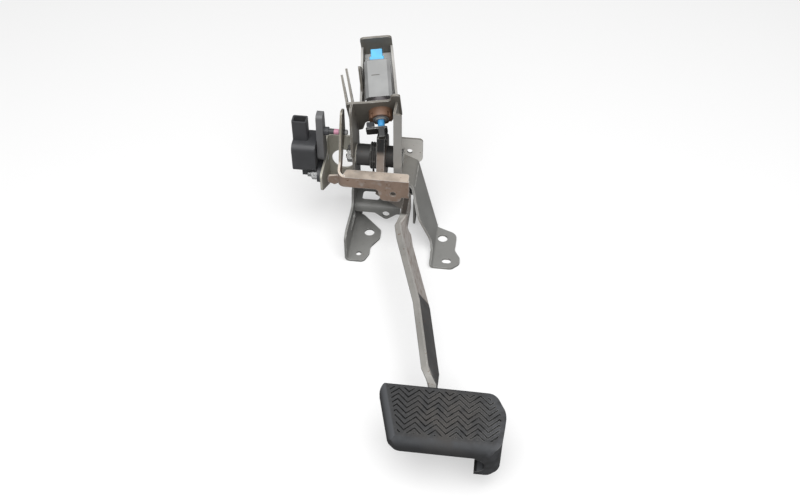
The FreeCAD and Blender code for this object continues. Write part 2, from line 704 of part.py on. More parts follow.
def drive_lever():
    """Pressed lever on the arm: a web across the front and a leg that carries the sensor pin."""
    path = [(LEVER_RIGHT, LEVER_FRONT), (LEG_X, LEVER_FRONT), (LEG_X, PIN_Y + 9)]
    sheet = slab(folded(path, SHEET, LEVER_BEND), LEG_TOP - TAB_BOTTOM, upwards(TAB_BOTTOM))
    corner = LEG_X + LEVER_BEND + SHEET
    arm_top = ARM_LOW_Z + ARM_HEIGHT / 2
    arm_side = ARM_LOW_X - BAR_THICK / 2 - 3
    web = slab([
        (corner, LEVER_TOP), (corner, LEVER_BOTTOM), (TAB_LEFT, LEVER_BOTTOM, 4),
        (TAB_LEFT + 3, TAB_BOTTOM, 5),
        (arm_side, TAB_BOTTOM, 4), (arm_side + 1, arm_top, 1), (LEVER_RIGHT, arm_top, 1),
        (LEVER_RIGHT, LEVER_TOP)],
        FAR, towards_front(FAR / 2))
    leg = slab([
        (LEVER_FRONT, LEVER_BOTTOM), (LEVER_BACK, LEVER_BOTTOM - 2, 6), (PIN_Y - 8, PIVOT_Z + 8, 10),
        (PIN_Y + 9, PIN_Z - 4, 6), (PIN_Y + 9, LEG_TOP - 4, 5), (PIN_Y - 4, LEG_TOP, 4),
        (PIN_Y - 12, PIN_Z + 14, 8),
        (LEVER_FRONT + 14, PIVOT_Z + 6, 8), (LEVER_FRONT, LEVER_TOP, 2)],
        corner - LEG_X, along_x(LEG_X))
    flange = slab([
        (corner - 3, LEVER_FRONT + SHEET), (LEVER_RIGHT - 1, LEVER_FRONT + SHEET),
        (LEVER_RIGHT - 1, LEVER_BACK, 3),
        (corner, LEVER_BACK, 3)], SHEET, upwards(LEVER_TOP - SHEET))
    spur = slab([
        (LEG_X - SPUR_LENGTH, SPUR_BOTTOM + 3, 3), (LEG_X - 4, SPUR_BOTTOM, 2),
        (LEG_X + SHEET, LEVER_BOTTOM),
        (LEG_X + SHEET, SPUR_TOP),
        (LEG_X - SPUR_LENGTH, SPUR_TOP - 2, 3)], SHEET, towards_front(SPUR_Y + SHEET))
    lever = join([sheet.common(join([web, leg])), flange, spur])
    holes = [rod(PIN_R + SEAT_GAP, V(LEG_X - SHEET, PIN_Y, PIN_Z), AXIS_X, 3 * SHEET),
             rod(TAB_HOLE_R, V(TAB_HOLE_X, LEVER_FRONT - SHEET, TAB_HOLE_Z), AXIS_Y, 3 * SHEET)]
    return lever.cut(holes)


def pad_outline(inset):
    """Outline of the pad seen from the driver, drawn in by an inset."""
    left = PAD_LEFT + inset
    right = PAD_RIGHT - inset
    back = PAD_BACK - inset
    front = PAD_FRONT + inset
    return [(left + 4, back, 6), (right - 11, back - 1.5, 12), (right, back - 22, 20),
            (right - 3, front + 7, 10),
            (right - 12, front, 10), (left + 21, front, 10), (left + 13.5, front + 7, 10),
            (left, back - 7, 7)]


def pad_side():
    """Line of the slanted left side of the pad: its rear corner and its direction to the front."""
    corners = pad_outline(0)
    rear = V(corners[-1][0], corners[-1][1], 0)
    front = V(corners[-2][0], corners[-2][1], 0)
    return rear, (front - rear).normalize()


def pad_grooves():
    """Rows of zigzag grooves, kept inside the tread."""
    half = GROOVE_WIDTH / 2
    floor = PAD_TOP - GROOVE_DEPTH
    rear, run = pad_side()
    inward = V(-run.y, run.x, 0)
    start = rear + inward * (PAD_ROLL_LEFT + TREAD_MARGIN)
    beside = slab(rectangle(FAR, FAR, 0, (FAR / 2, 0)), FAR, place(start + AXIS_Z * floor, inward, -run))
    front = PAD_FRONT + PAD_ROLL_FRONT + TREAD_MARGIN
    behind = slab(rectangle(FAR, FAR, 0, (0, front + FAR / 2)), FAR, upwards(floor))
    tread = slab(pad_outline(TREAD_INSET), FAR, upwards(floor)).common(beside).common(behind)
    count = math.ceil((PAD_RIGHT - PAD_LEFT) / (ZIGZAG_PERIOD / 2))
    rows = []
    for row in range(GROOVE_ROWS):
        middle = PAD_BACK - GROOVE_PITCH * row
        points = [(PAD_LEFT + ZIGZAG_PERIOD / 2 * step, middle - ZIGZAG_RISE * (step % 2))
            for step in range(count + 1)]
        upper = [(x, y + half) for x, y in points]
        lower = [(x, y - half) for x, y in points]
        rows.append(slab(upper[::-1] + lower, 2 * GROOVE_DEPTH, upwards(floor)).common(tread))
    return rows


def pad_shell():
    """Body of the pad with its rolled upper edges, open below."""
    bottom = PAD_TOP - PAD_SKIRT
    plan = slab(pad_outline(0), PAD_SKIRT, upwards(bottom))
    along = slab([
        (PAD_BACK, bottom), (PAD_BACK, PAD_TOP, PAD_ROLL), (PAD_FRONT, PAD_TOP, PAD_ROLL_FRONT),
        (PAD_FRONT, bottom)],
        FAR, along_x(PAD_LEFT - FAR / 2))
    across = slab([
        (PAD_RIGHT - FAR, bottom), (PAD_RIGHT - FAR, PAD_TOP), (PAD_RIGHT, PAD_TOP, PAD_ROLL_RIGHT),
        (PAD_RIGHT, bottom)],
        FAR, towards_front(PAD_FRONT + FAR / 2))
    rear, run = pad_side()
    slanted = slab([
        (0, bottom), (FAR, bottom), (FAR, PAD_TOP), (0, PAD_TOP, PAD_ROLL_LEFT)],
        FAR, place(rear - run * (FAR / 2), V(-run.y, run.x, 0), AXIS_Z))
    return plan.common(along).common(across).common(slanted)


def pad_lug():
    """Hollow lug under the right front corner that hooks the pad to its plate."""
    bottom = PAD_TOP - PAD_SKIRT - HOOK_DROP
    left = PAD_RIGHT - HOOK_WIDTH
    zone = slab([
        (left, PAD_FRONT), (PAD_RIGHT, PAD_FRONT), (PAD_RIGHT, PAD_FRONT + HOOK_DEPTH),
        (left, PAD_FRONT + HOOK_DEPTH)],
        HOOK_DROP, upwards(bottom))
    lug = slab(pad_outline(0), HOOK_DROP, upwards(bottom)).common(zone)
    height = PAD_TOP - PAD_SKIRT - HOOK_ROOF - HOOK_POCKET_R
    pocket = rod(HOOK_POCKET_R, V(left, PAD_FRONT - PAD_WALL, height), AXIS_Y, HOOK_DEPTH)
    return lug.cut(pocket)


def pedal_pad():
    """Rubber pad that wraps over the edge of its steel plate."""
    hollow = slab(pad_outline(PAD_WALL), FAR, upwards(PAD_TOP - PAD_SKIN - FAR))
    gate = slab(rectangle(ARM_HEIGHT, 30, 2, (52, PAD_BACK)), FAR, upwards(PLATE_Z - FAR))
    shell = pad_shell().cut([hollow, gate] + pad_grooves())
    return join([shell, pad_lug()])


def pedal_plate():
    """Steel plate welded to the end of the arm, under the pad."""
    return slab(pad_outline(PAD_WALL + FIT), PLATE_THICK, upwards(PLATE_Z))


def sensor_housing():
    """Moulded sensor body with two ears and an upright connector socket."""
    length = SENSOR_RIGHT - SENSOR_LEFT
    body = slab(rectangle(2 * SENSOR_R, 2 * SENSOR_R, 6, (PIVOT_Y, PIVOT_Z)), length, along_x(SENSOR_LEFT))
    ear_x = BRACKET_LEFT - SHEET - EAR_THICK
    low = STUD_Z - EAR_R
    high = STUD_Z + EAR_R / 2
    neck_width = STUD_SPREAD - 2 * EAR_R + 2
    neck = slab(rectangle(neck_width, high - low, 0, (PIVOT_Y, (high + low) / 2)),
                BRACKET_LEFT - SHEET - SENSOR_LEFT - EAR_R, along_x(SENSOR_LEFT + EAR_R))
    ears = [rod(EAR_R, V(ear_x, y, STUD_Z), AXIS_X, EAR_THICK) for y in stud_rows()]
    bridge = slab(rectangle(STUD_SPREAD, high - low, 0, (PIVOT_Y, (high + low) / 2)),
        EAR_THICK, along_x(ear_x))
    middle = SENSOR_LEFT + SOCKET_WIDTH / 2
    shroud = slab(rectangle(SOCKET_WIDTH, SOCKET_DEPTH, 2, (middle, PIVOT_Y)),
        SOCKET_TOP - PIVOT_Z, upwards(PIVOT_Z))
    inside = rectangle(SOCKET_WIDTH - 2 * SOCKET_WALL, SOCKET_DEPTH - 2 * SOCKET_WALL, 1, (middle, PIVOT_Y))
    mouth = slab(inside, SOCKET_TOP - SOCKET_FLOOR, upwards(SOCKET_FLOOR))
    bore = rod(SHAFT_R + FIT, on_pivot(SENSOR_RIGHT - 10), AXIS_X, 20)
    room_start = BRACKET_LEFT - STUD_LENGTH - SEAT_GAP
    nut_room = [rod(EAR_R - 1, V(room_start, y, STUD_Z), AXIS_X, ear_x - room_start) for y in stud_rows()]
    studs = [rod(STUD_R + HOLE_CLEARANCE, V(SENSOR_LEFT, y, STUD_Z), AXIS_X, FAR) for y in stud_rows()]
    return join([body, neck, bridge, shroud] + ears).cut([mouth, bore] + nut_room + studs)


def sensor_terminals():
    middle = SENSOR_LEFT + SOCKET_WIDTH / 2
    pins = [slab(rectangle(0.8, 1.6, 0, (middle + step * 3, PIVOT_Y)), 9, upwards(SOCKET_FLOOR))
        for step in (-1, 0, 1)]
    return Part.makeCompound(pins)


def sensor_studs():
    studs = []
    for y in stud_rows():
        start = BRACKET_LEFT
        studs.append(rod(STUD_R, V(start, y, STUD_Z), -AXIS_X, STUD_LENGTH))
    return Part.makeCompound(studs)


def sensor_nuts():
    start = BRACKET_LEFT - SHEET - EAR_THICK - STUD_NUT
    nuts = []
    for y in stud_rows():
        nut = slab(hexagon(STUD_FLATS, (y, STUD_Z)), STUD_NUT, along_x(start))
        nuts.append(nut.cut(rod(STUD_R + FIT, V(start, y, STUD_Z), AXIS_X, STUD_NUT)))
    return Part.makeCompound(nuts)


def sensor_lever():
    """Lever on the sensor shaft, turned by the pin in the drive lever."""
    half = SENSOR_HUB_R
    arm = slab([
        (PIVOT_Y - half, PIVOT_Z, 0), (PIVOT_Y - 6, SENSOR_LEVER_TOP, 4),
        (PIVOT_Y + 7, SENSOR_LEVER_TOP, 4),
        (PIVOT_Y + half, PIVOT_Z, 0)], SENSOR_LEVER_THICK, along_x(SENSOR_LEVER_X))
    hub = rod(half, on_pivot(SENSOR_LEVER_X), AXIS_X, SENSOR_LEVER_THICK)
    shaft = rod(SHAFT_R, on_pivot(SENSOR_LEVER_X - 9), AXIS_X, 9)
    hole = rod(PIN_R + FIT, V(SENSOR_LEVER_X, PIN_Y, PIN_Z), AXIS_X, SENSOR_LEVER_THICK)
    return join([arm, hub, shaft]).cut(hole)


def sensor_pin():
    """Round pin from the sensor lever into the drive lever."""
    length = PIN_TIP_X - SENSOR_LEVER_X
    pin = rod(PIN_R, V(SENSOR_LEVER_X, PIN_Y, PIN_Z), AXIS_X, length)
    tip = [edge for edge in pin.Edges if abs(edge.CenterOfMass.x - PIN_TIP_X) < FIT]
    pin = pin.makeChamfer(PIN_R / 3, tip)
    shoulder = rod(PIN_R + 1.5, V(SENSOR_LEVER_X + SENSOR_LEVER_THICK, PIN_Y, PIN_Z), AXIS_X, PIN_BAND)
    return join([pin, shoulder])


def main():
    os.makedirs("parts", exist_ok=True)
    left_bush_face = LEFT_IN + BUSH_PLAY
    right_bush_face = RIGHT_IN - BUSH_PLAY
    nodes = {
        "left_side_plate": left_plate(),
        "right_side_plate": right_plate(),
        "cross_plate": cross_plate(),
        "switch_seat": switch_seat(),
        "cowl_bracket": cowl_bracket(),
        "sensor_bracket": sensor_bracket(),
        "pivot_bolt": pivot_bolt(),
        "pivot_nut": pivot_nut(),
        "pivot_sleeve": pivot_sleeve(),
        "pivot_bush_left": pivot_bush(left_bush_face, AXIS_X),
        "pivot_bush_right": pivot_bush(right_bush_face, -AXIS_X),
        "pivot_tube": pivot_tube(),
        "return_spring": return_spring(),
        "switch_body": switch_body(),
        "switch_adjuster": switch_adjuster(),
        "switch_insert": switch_insert(),
        "switch_terminals": switch_terminals(),
        "switch_plunger": switch_plunger(),
        "pedal_arm": pedal_arm(),
        "stopper_cushion": stopper_cushion(),
        "drive_lever": drive_lever(),
        "pedal_plate": pedal_plate(),
        "pedal_pad": pedal_pad(),
        "sensor_housing": sensor_housing(),
        "sensor_terminals": sensor_terminals(),
        "sensor_studs": sensor_studs(),
        "sensor_nuts": sensor_nuts(),
        "sensor_lever": sensor_lever(),
        "sensor_pin": sensor_pin(),
    }
    for name, shape in nodes.items():
        shape.exportStep("parts/" + name + ".step")
        print(name, len(shape.Solids), shape.isValid(), round(shape.Volume))


main()
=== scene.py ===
import json
import math

import bpy
from mathutils import Matrix, Vector

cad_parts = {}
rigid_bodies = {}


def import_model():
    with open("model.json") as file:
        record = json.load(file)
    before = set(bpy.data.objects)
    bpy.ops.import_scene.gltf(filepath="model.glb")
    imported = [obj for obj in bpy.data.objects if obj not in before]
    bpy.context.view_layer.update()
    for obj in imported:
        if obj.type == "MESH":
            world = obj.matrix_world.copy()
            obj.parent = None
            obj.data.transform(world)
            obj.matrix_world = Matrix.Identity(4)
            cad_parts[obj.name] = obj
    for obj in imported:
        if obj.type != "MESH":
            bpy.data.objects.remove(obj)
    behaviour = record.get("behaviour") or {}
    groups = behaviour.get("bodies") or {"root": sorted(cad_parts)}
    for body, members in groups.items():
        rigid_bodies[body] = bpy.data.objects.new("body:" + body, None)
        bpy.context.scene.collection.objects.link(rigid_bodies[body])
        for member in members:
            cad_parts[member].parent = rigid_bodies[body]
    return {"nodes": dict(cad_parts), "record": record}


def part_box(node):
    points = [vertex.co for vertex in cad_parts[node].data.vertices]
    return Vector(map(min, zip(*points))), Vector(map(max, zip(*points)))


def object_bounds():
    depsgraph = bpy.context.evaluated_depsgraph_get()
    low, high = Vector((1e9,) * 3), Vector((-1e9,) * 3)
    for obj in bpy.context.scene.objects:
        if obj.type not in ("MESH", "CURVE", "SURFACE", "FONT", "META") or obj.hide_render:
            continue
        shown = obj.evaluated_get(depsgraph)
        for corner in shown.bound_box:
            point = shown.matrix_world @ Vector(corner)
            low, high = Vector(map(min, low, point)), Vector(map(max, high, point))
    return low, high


for leftover in list(bpy.data.objects):
    bpy.data.objects.remove(leftover)
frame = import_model()
cad_low, cad_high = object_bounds()

# Camera, in metres and degrees
CAMERA_PLACE = Vector((0.088, -0.770, 0.7623))
CAMERA_PITCH = 45.3
CAMERA_YAW = 7.0
LENS_MM = 45.0
SENSOR_MM = 36.0

# Studio
LIGHT_PLACE = Vector((0.05, -0.50, 1.30))
LIGHT_SIZE = 2.2
LIGHT_WATTS = 40.0
SKY_STRENGTH = 0.10
SKY_SEEN = 0.93
FLOOR_SIZE = 8.0
FLOOR_SEEN = (0.93, 0.93, 0.93)
FLOOR_EVEN = 0.45
FLOOR_BOUNCE = (0.30, 0.30, 0.30)

# Colours, linear
SHEET_GREY = (0.245, 0.245, 0.235)
SHEET_WARM = (0.20, 0.185, 0.16)
PRIMER = (0.55, 0.55, 0.53)
CHANNEL_PAINTED_LIGHT = (0.86, 0.85, 0.83)
FRONT_PAINTED_LIGHT = (0.36, 0.35, 0.33)
TAB_PAINTED_LIGHT = (0.80, 0.78, 0.74)
RUST = (0.16, 0.085, 0.05)
GRIME_AND_SHADE = (0.07, 0.062, 0.055)
LEVER_BROWN = (0.38, 0.275, 0.215)
LEVER_TOP_PAINTED_LIGHT = (0.41, 0.35, 0.295)
LEG_OLIVE = (0.33, 0.30, 0.245)
SENSOR_PALE = (0.56, 0.54, 0.46)
ARM_GREY = (0.33, 0.32, 0.30)
ARM_BROWN = (0.27, 0.215, 0.18)
ARM_RUBBED = (0.46, 0.43, 0.405)
ARM_DARK = (0.060, 0.058, 0.058)
ARM_BLACK = (0.022, 0.022, 0.022)
ZINC = (0.78, 0.78, 0.76)
STUD_ZINC = (0.93, 0.94, 0.94)
OXIDE = (0.065, 0.064, 0.063)
RUBBER = (0.022, 0.0225, 0.024)
RUBBER_EDGE = (0.031, 0.033, 0.037)
RUBBER_SIDE = (0.070, 0.073, 0.079)
RUBBER_WORN = (0.058, 0.057, 0.056)
RIB_HIGHLIGHT_AND_WEAR = (0.17, 0.168, 0.165)
DUST = (0.072, 0.064, 0.057)
BLACK_PLASTIC = (0.058, 0.059, 0.063)
LEVER_PLASTIC = (0.15, 0.15, 0.153)
GREY_PLASTIC = (0.30, 0.304, 0.302)
COLLAR_SHADE = (0.075, 0.066, 0.070)
BROWN_PLASTIC = (0.20, 0.11, 0.07)
INSERT_BLUE = (0.11, 0.47, 0.80)
PLUNGER_BLUE = (0.06, 0.35, 0.72)
BUSH_CREAM = (0.55, 0.52, 0.45)
BRASS = (0.72, 0.58, 0.30)
BAND_PINK = (0.68, 0.31, 0.43)
PIN_TIP = (0.60, 0.60, 0.60)

# Texture sizes in repeats per metre, how far the arm's streaks are drawn out, edge and thread in metres
PATCHES = 22.0
MOTTLE = 140.0
SPECKS = 420.0
GRAIN = 1500.0
ARM_STRETCH = 40.0
EDGE_WIDTH = 0.0009
THREAD_PITCH = 0.0008

# Switch and its channel: plunger tip in metres, directions along, across and out of the front face
SWITCH_TIP = Vector((-0.029, 0.028, 0.125))
SWITCH_ALONG = Vector((-0.1721, 0.8677, 0.4664))
SWITCH_ACROSS = Vector((0.9851, 0.1516, 0.0815))
SWITCH_FRONT = Vector((0.0, -0.4734, 0.8808))
CASE_START = 0.030
COLLAR_LENGTH = 0.008
CHANNEL_DEPTH = 0.0100
MARK_ALONG = 0.0545
MARK_ACROSS = -0.0022
MARK_LENGTH = 0.0085
MARK_WIDTH = 0.0009

# Direction to the front, and where paint changes in metres:
# with Z on the bracket and the lever's leg, with Y on the clip tab and the arm
TO_FRONT = Vector((0.0, -1.0, 0.0))
WARM_FROM = 0.035
WARM_FULL = 0.095
TAB_FROM = 0.050
TAB_FULL = 0.055
LEG_FROM = 0.080
LEG_FULL = 0.096
ARM_DARK_FROM = -0.1300
ARM_DARK_FULL = -0.1312
UNDER_LEVER_Y = -0.010
UNDER_LEVER_LENGTH = 0.032


def shade(colour, factor):
    return tuple(min(1.0, channel * factor) for channel in colour)


class Look:
    """A material built node by node; most methods return the socket of what they add."""

    def __init__(self, name, roughness, metallic=0.0):
        self.material = bpy.data.materials.new(name)
        self.material.use_nodes = True
        self.tree = self.material.node_tree
        self.surface = self.tree.nodes["Principled BSDF"]
        self.surface.inputs["Roughness"].default_value = roughness
        self.surface.inputs["Metallic"].default_value = metallic
        texture_space = self.tree.nodes.new("ShaderNodeTexCoord")
        self.place = texture_space.outputs["Object"]
        self.facing = texture_space.outputs["Normal"]

    def feed(self, value, socket):
        """Wires a socket, or sets a number or a colour."""
        if isinstance(value, bpy.types.NodeSocket):
            self.tree.links.new(value, socket)
        elif isinstance(value, tuple):
            socket.default_value = (*value, 1.0)
        else:
            socket.default_value = value

    def noise(self, scale, detail=4.0, stretch=1.0):
        """Noise, drawn out along Y by a stretch."""
        drawn = self.tree.nodes.new("ShaderNodeVectorMath")
        drawn.operation = "MULTIPLY"
        self.feed(self.place, drawn.inputs[0])
        drawn.inputs[1].default_value = (1.0, 1.0 / stretch, 1.0)
        node = self.tree.nodes.new("ShaderNodeTexNoise")
        node.inputs["Scale"].default_value = scale
        node.inputs["Detail"].default_value = detail
        self.feed(drawn.outputs["Vector"], node.inputs["Vector"])
        return node.outputs["Fac"]

    def rise(self, value, low, high, least=0.0, most=1.0):
        """Smooth step of a value from low to high; low may be the larger one."""
        node = self.tree.nodes.new("ShaderNodeMapRange")
        node.interpolation_type = "SMOOTHSTEP"
        self.feed(value, node.inputs["Value"])
        for name, number in (("From Min", low), ("From Max", high), ("To Min", least), ("To Max", most)):
            node.inputs[name].default_value = number
        return node.outputs["Result"]

    def both(self, first, second):
        """Product of two masks."""
        node = self.tree.nodes.new("ShaderNodeMath")
        node.operation = "MULTIPLY"
        self.feed(first, node.inputs[0])
        self.feed(second, node.inputs[1])
        return node.outputs["Value"]

    def mix(self, mask, under, over):
        node = self.tree.nodes.new("ShaderNodeMix")
        node.data_type = "RGBA"
        self.feed(mask, node.inputs["Factor"])
        colour_sockets = [socket for socket in node.inputs if socket.type == "RGBA"]
        self.feed(under, colour_sockets[0])
        self.feed(over, colour_sockets[1])
        return next(socket for socket in node.outputs if socket.type == "RGBA")

    def part_of(self, vector, letter):
        node = self.tree.nodes.new("ShaderNodeSeparateXYZ")
        self.feed(vector, node.inputs["Vector"])
        return node.outputs[letter]

    def near(self, point, inner, outer):
        """1 within the inner distance of a point, 0 past the outer one."""
        node = self.tree.nodes.new("ShaderNodeVectorMath")
        node.operation = "DISTANCE"
        self.feed(self.place, node.inputs[0])
        node.inputs[1].default_value = point
        return self.rise(node.outputs["Value"], outer, inner)

    def measure(self, vector, direction):
        """Length of a vector along a direction."""
        node = self.tree.nodes.new("ShaderNodeVectorMath")
        node.operation = "DOT_PRODUCT"
        self.feed(vector, node.inputs[0])
        node.inputs[1].default_value = direction
        return node.outputs["Value"]

    def turned(self, direction):
        """1 on faces turned in a direction, 0 on the others."""
        return self.rise(self.measure(self.facing, direction), 0.85, 0.97)

    def strip(self, direction, middle, width, blur):
        """1 within a strip across a direction, 0 outside it."""
        level = self.measure(self.place, direction)
        low = middle - width / 2
        high = middle + width / 2
        return self.both(self.rise(level, low - blur, low + blur), self.rise(level, high + blur, high - blur))

    def edges(self, width=EDGE_WIDTH):
        """1 along sharp edges, 0 on flat faces."""
        bevel = self.tree.nodes.new("ShaderNodeBevel")
        bevel.samples = 6
        bevel.inputs["Radius"].default_value = width
        geometry = self.tree.nodes.new("ShaderNodeNewGeometry")
        node = self.tree.nodes.new("ShaderNodeVectorMath")
        node.operation = "DOT_PRODUCT"
        self.feed(bevel.outputs["Normal"], node.inputs[0])
        self.feed(geometry.outputs["Normal"], node.inputs[1])
        return self.rise(node.outputs["Value"], 0.985, 0.86)

    def roughen(self, mask, least, most):
        self.feed(self.rise(mask, 0.3, 0.7, least, most), self.surface.inputs["Roughness"])

    def emboss(self, height, depth, strength=1.0):
        node = self.tree.nodes.new("ShaderNodeBump")
        node.inputs["Strength"].default_value = strength
        node.inputs["Distance"].default_value = depth
        self.feed(height, node.inputs["Height"])
        self.feed(node.outputs["Normal"], self.surface.inputs["Normal"])

    def finish(self, colour):
        self.feed(colour, self.surface.inputs["Base Color"])
        return self.material


def coated_sheet(look, base, colour):
    """Satin coat over a base tone: faint patches, bare worn edges, a few rust specks and grime."""
    patches = look.noise(PATCHES)
    tone = look.mix(look.rise(patches, 0.35, 0.65, 0.0, 0.16), base, GRIME_AND_SHADE)
    tone = look.mix(look.rise(look.noise(MOTTLE), 0.56, 0.78, 0.0, 0.35), tone, shade(colour, 0.7))
    bare = look.both(look.edges(), look.rise(look.noise(MOTTLE), 0.38, 0.56))
    tone = look.mix(bare, tone, PRIMER)
    tone = look.mix(look.rise(look.noise(SPECKS, 2.0), 0.70, 0.75), tone, RUST)
    look.roughen(patches, 0.40, 0.58)
    look.emboss(look.noise(GRAIN), 0.00004)
    return look.finish(tone)


def bracket_coat(name, painted_light_inside=False, painted_light_front=False):
    """Grey electro-coat, warmer away from the firewall, with painted light in the switch's channel or on
    front faces.
    """
    look = Look(name, roughness=0.5)
    base = look.mix(look.rise(look.part_of(look.place, "Z"), WARM_FROM, WARM_FULL), SHEET_GREY, SHEET_WARM)
    if painted_light_inside:
        # Channel's inner faces painted pale: painted light in the shade of the hood and switch.
        axis_level = SWITCH_TIP.dot(SWITCH_FRONT)
        deep = look.rise(look.measure(look.place, SWITCH_FRONT), axis_level, axis_level - CHANNEL_DEPTH)
        base = look.mix(look.both(look.turned(SWITCH_FRONT), deep), base, CHANNEL_PAINTED_LIGHT)
    if painted_light_front:
        # Front-facing faces painted lighter, the clip tab palest: painted light on faces turned to the front.
        on_tab = look.rise(look.part_of(look.place, "Y"), TAB_FROM, TAB_FULL)
        base = look.mix(look.turned(TO_FRONT), base, look.mix(on_tab, FRONT_PAINTED_LIGHT, TAB_PAINTED_LIGHT))
    return coated_sheet(look, base, SHEET_GREY)


def sensor_coat():
    """Pale yellowish coat of the sensor's bracket, browned in patches at its lower end."""
    look = Look("sensor_coat", roughness=0.45)
    low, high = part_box("sensor_bracket")
    level = look.rise(look.part_of(look.place, "Z"), (low.z + high.z) / 2, low.z)
    browned = look.both(level, look.rise(look.noise(PATCHES * 2), 0.30, 0.60))
    return coated_sheet(look, look.mix(browned, SENSOR_PALE, LEVER_BROWN), SENSOR_PALE)


def black_oxide():
    look = Look("spring_oxide", roughness=0.5)
    return coated_sheet(look, OXIDE, OXIDE)


def chromated_lever():
    """Brownish chromate with its top face painted lighter in patches (painted light), grey rubbed streaks and
    bright edges, olive up the leg.
    """
    look = Look("lever_chromate", roughness=0.45, metallic=0.25)
    patches = look.noise(PATCHES * 2)
    tone = look.mix(look.rise(patches, 0.35, 0.68), LEVER_BROWN, shade(LEVER_BROWN, 0.80))
    # Top faces painted lighter than the front: painted light on the lever's top.
    on_top = look.rise(look.part_of(look.facing, "Z"), 0.35, 0.85)
    tone = look.mix(on_top, tone, look.mix(look.rise(patches, 0.40, 0.62), LEVER_TOP_PAINTED_LIGHT, shade(LEVER_TOP_PAINTED_LIGHT, 1.45)))
    tone = look.mix(look.rise(look.part_of(look.place, "Z"), LEG_FROM, LEG_FULL), tone, LEG_OLIVE)
    tone = look.mix(look.rise(look.noise(MOTTLE), 0.55, 0.75, 0.0, 0.5), tone, PRIMER)
    tone = look.mix(look.rise(look.noise(SPECKS, 2.0), 0.66, 0.74), tone, RUST)
    bare = look.both(look.edges(), look.rise(look.noise(MOTTLE), 0.3, 0.5))
    tone = look.mix(bare, tone, shade(PRIMER, 1.2))
    look.roughen(patches, 0.35, 0.55)
    look.emboss(look.noise(GRAIN), 0.00004)
    return look.finish(tone)


def worn_arm():
    """Black at the contact, brown at the eye, a painted shadow under the lever, right face streaked then
    dark.
    """
    look = Look("arm_paint", roughness=0.45, metallic=0.1)
    eye_low, eye_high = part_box("pivot_tube")
    eye = (eye_low + eye_high) / 2
    radius = (eye_high.z - eye_low.z) / 2
    along = look.part_of(look.place, "Y")
    height = look.part_of(look.place, "Z")
    patches = look.noise(PATCHES * 2)
    tone = look.mix(look.rise(patches, 0.35, 0.65), ARM_GREY, shade(ARM_GREY, 0.78))
    right_face = look.rise(look.part_of(look.facing, "X"), 0.15, 0.55)
    streaks = look.noise(SPECKS, stretch=ARM_STRETCH)
    tone = look.mix(right_face, tone, look.mix(look.rise(streaks, 0.25, 0.60), ARM_BROWN, ARM_RUBBED))
    tone = look.mix(look.both(right_face, look.rise(along, ARM_DARK_FROM, ARM_DARK_FULL)), tone, ARM_DARK)
    near_eye = look.rise(along, eye.y - 4 * radius, eye.y - 1.5 * radius)
    tone = look.mix(look.both(near_eye, look.rise(patches, 0.75, 0.35)), tone, ARM_BROWN)
    tone = look.mix(look.rise(height, eye.z + 1.3 * radius, eye.z + 2.0 * radius), tone, ARM_BLACK)
    # Painted shadow of the lever on the arm's top faces beneath it.
    lever_shadow = look.strip(TO_FRONT, -UNDER_LEVER_Y, UNDER_LEVER_LENGTH, radius / 5)
    on_top = look.rise(look.part_of(look.facing, "Z"), 0.35, 0.85)
    tone = look.mix(look.both(lever_shadow, on_top), tone, shade(GRIME_AND_SHADE, 0.5))
    bare = look.both(look.edges(), look.rise(look.noise(MOTTLE), 0.3, 0.52))
    tone = look.mix(bare, tone, PRIMER)
    tone = look.mix(look.rise(look.noise(SPECKS, 2.0), 0.66, 0.74, 0.0, 0.8), tone, RUST)
    look.roughen(patches, 0.35, 0.55)
    look.emboss(look.noise(GRAIN), 0.00005)
    return look.finish(tone)


def plated(name, colour, threaded=False):
    """Zinc plate with fine brushing, or a cut thread along X."""
    look = Look(name, roughness=0.32, metallic=1.0)
    patches = look.noise(MOTTLE)
    tone = look.mix(look.rise(patches, 0.4, 0.7), colour, shade(colour, 0.72))
    look.roughen(patches, 0.24, 0.42)
    if threaded:
        wave = look.tree.nodes.new("ShaderNodeTexWave")
        wave.bands_direction = "X"
        wave.inputs["Scale"].default_value = math.pi / (10 * THREAD_PITCH)
        look.feed(look.place, wave.inputs["Vector"])
        look.emboss(wave.outputs["Fac"], THREAD_PITCH / 2)
    else:
        look.emboss(look.noise(GRAIN), 0.00003)
    return look.finish(tone)


